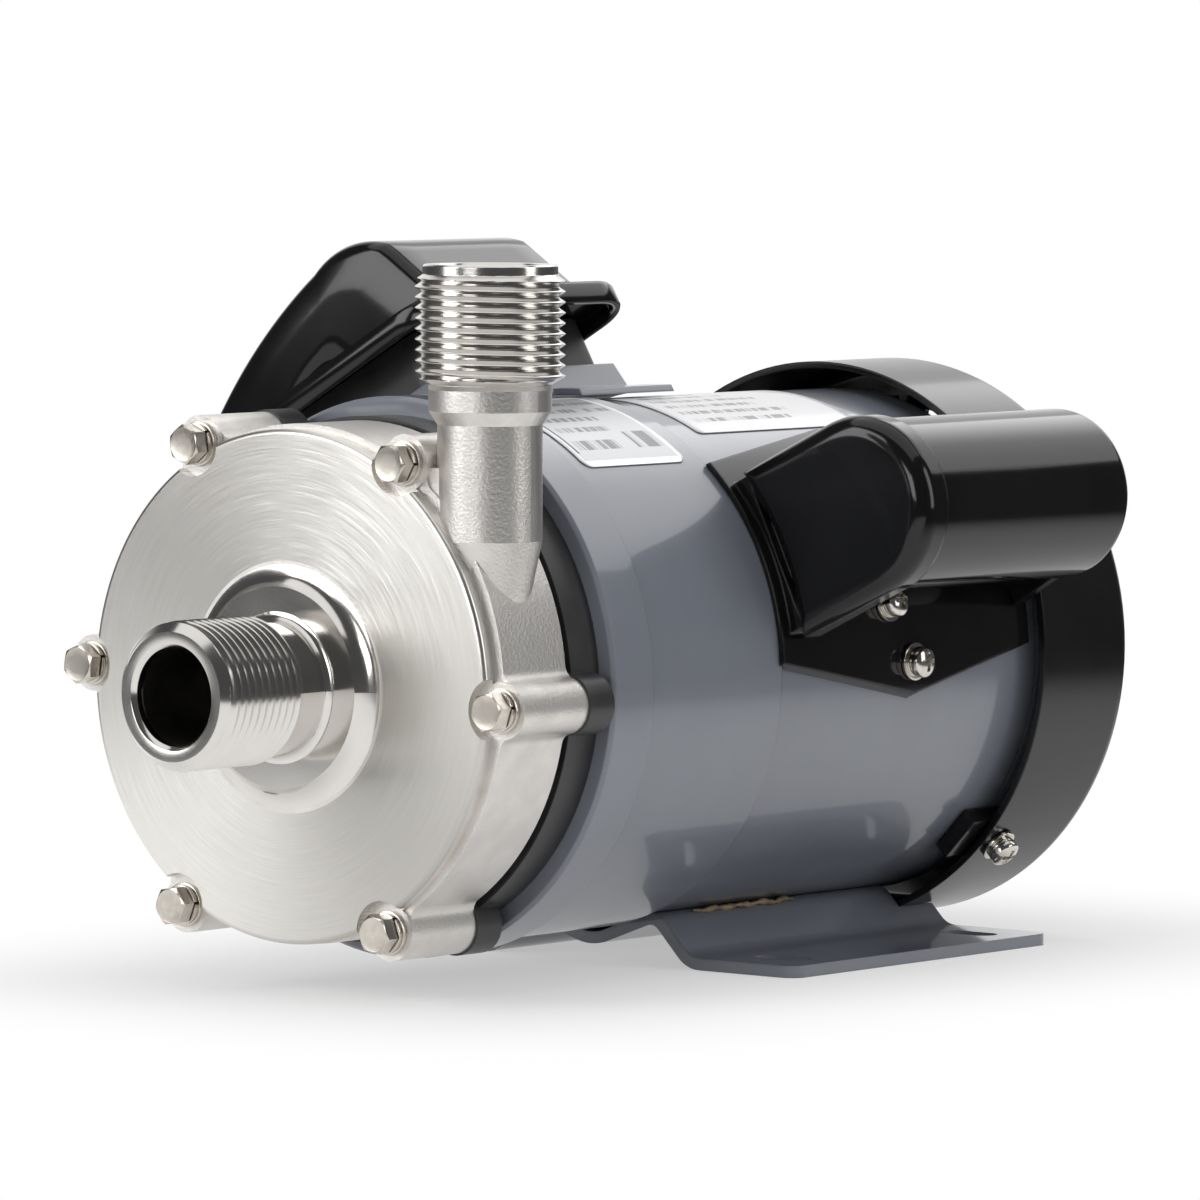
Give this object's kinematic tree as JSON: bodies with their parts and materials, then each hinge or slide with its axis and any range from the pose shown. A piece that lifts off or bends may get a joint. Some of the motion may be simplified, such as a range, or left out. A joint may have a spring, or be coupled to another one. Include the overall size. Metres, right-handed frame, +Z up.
{
  "type": "magnetic drive pump",
  "caption": "Close-coupled centrifugal magnetic drive pump with a stainless casing, threaded ports, capacitor motor, terminal box and slotted foot.",
  "frame": {"origin": "centre of the foot's four slots, on the floor that the foot stands on", "axes": "+Y along the pump axis from the inlet to the fan, +Z up along the outlet, +X to the side of the outlet and the capacitor"},
  "size_m": [0.1826, 0.2679, 0.1681],
  "materials": {
    "cast_stainless": "brushed face, satin cast walls, polished hub and threads",
    "bolt_steel": "bright stainless",
    "seal_rubber": "black rubber",
    "turned_stainless": "turned stainless",
    "magnet": "dark sintered magnet",
    "bush_plastic": "filled bearing plastic",
    "ceramic": "ground ceramic",
    "black_bracket": "black moulding, satin",
    "turned_steel": "turned steel",
    "grey_paint": "gloss blue-grey paint",
    "lamination": "laminated steel",
    "copper": "enamelled copper",
    "rotor_aluminium": "cast cage on laminations",
    "bearing_steel": "ground bearing steel",
    "fan_plastic": "black moulding",
    "black_cover": "gloss black",
    "plated_screw": "plated pan head screw",
    "can_aluminium": "drawn aluminium",
    "black_gloss": "gloss black moulding",
    "black_box": "black moulding, satin",
    "terminal_plastic": "ivory moulding",
    "terminal_brass": "brass",
    "label": "silver printed film"
  },
  "bodies": {
    "pump_body": {"pump_casing": "cast_stainless", "casing_bolts": "bolt_steel", "casing_spring_washers": "bolt_steel", "casing_washers": "bolt_steel", "casing_o_ring": "seal_rubber", "rear_casing": "turned_stainless", "impeller_shaft": "ceramic", "front_thrust_ring": "ceramic", "rear_thrust_ring": "ceramic", "clamp_bracket": "black_bracket", "bracket_screws": "bolt_steel", "front_bell": "grey_paint", "motor_tube": "grey_paint", "foot_plate": "grey_paint", "stator_core": "lamination", "stator_windings": "copper", "front_bearing_outer_ring": "bearing_steel", "front_bearing_balls": "bearing_steel", "rear_bearing_outer_ring": "bearing_steel", "rear_bearing_balls": "bearing_steel", "rear_end_shield": "grey_paint", "wave_spring": "bearing_steel", "fan_cover": "black_cover", "fan_cover_lugs": "black_bracket", "fan_cover_screws": "plated_screw", "fan_cover_washers": "plated_screw", "capacitor": "can_aluminium", "capacitor_housing": "black_gloss", "capacitor_screws": "plated_screw", "capacitor_washers": "plated_screw", "terminal_pedestal": "grey_paint", "terminal_box": "black_box", "cable_grommet": "seal_rubber", "terminal_block": "terminal_plastic", "terminal_screws": "terminal_brass", "terminal_hood": "black_gloss", "hood_screws": "plated_screw", "bell_label": "label", "tube_label": "label"},
    "motor_rotor": {"motor_shaft": "turned_steel", "rotor_core": "rotor_aluminium", "drive_hub": "turned_steel", "drive_magnets": "magnet", "front_bearing_inner_ring": "bearing_steel", "rear_bearing_inner_ring": "bearing_steel", "cooling_fan": "fan_plastic"},
    "impeller_rotor": {"impeller": "turned_stainless", "magnet_capsule": "turned_stainless", "driven_magnet": "magnet", "impeller_bush": "bush_plastic"}
  },
  "joints": [
    {"name": "motor_spin", "type": "hinge", "parent": "pump_body", "child": "motor_rotor", "pos_m": [0, 0, 0.07], "axis": [0, 1, 0], "continuous": true},
    {"name": "impeller_spin", "type": "hinge", "parent": "pump_body", "child": "impeller_rotor", "pos_m": [0, 0, 0.07], "axis": [0, 1, 0], "continuous": true}
  ],
  "couplings": [
    {"joint": "impeller_spin", "follows": "motor_spin", "ratio": 1}
  ]
}
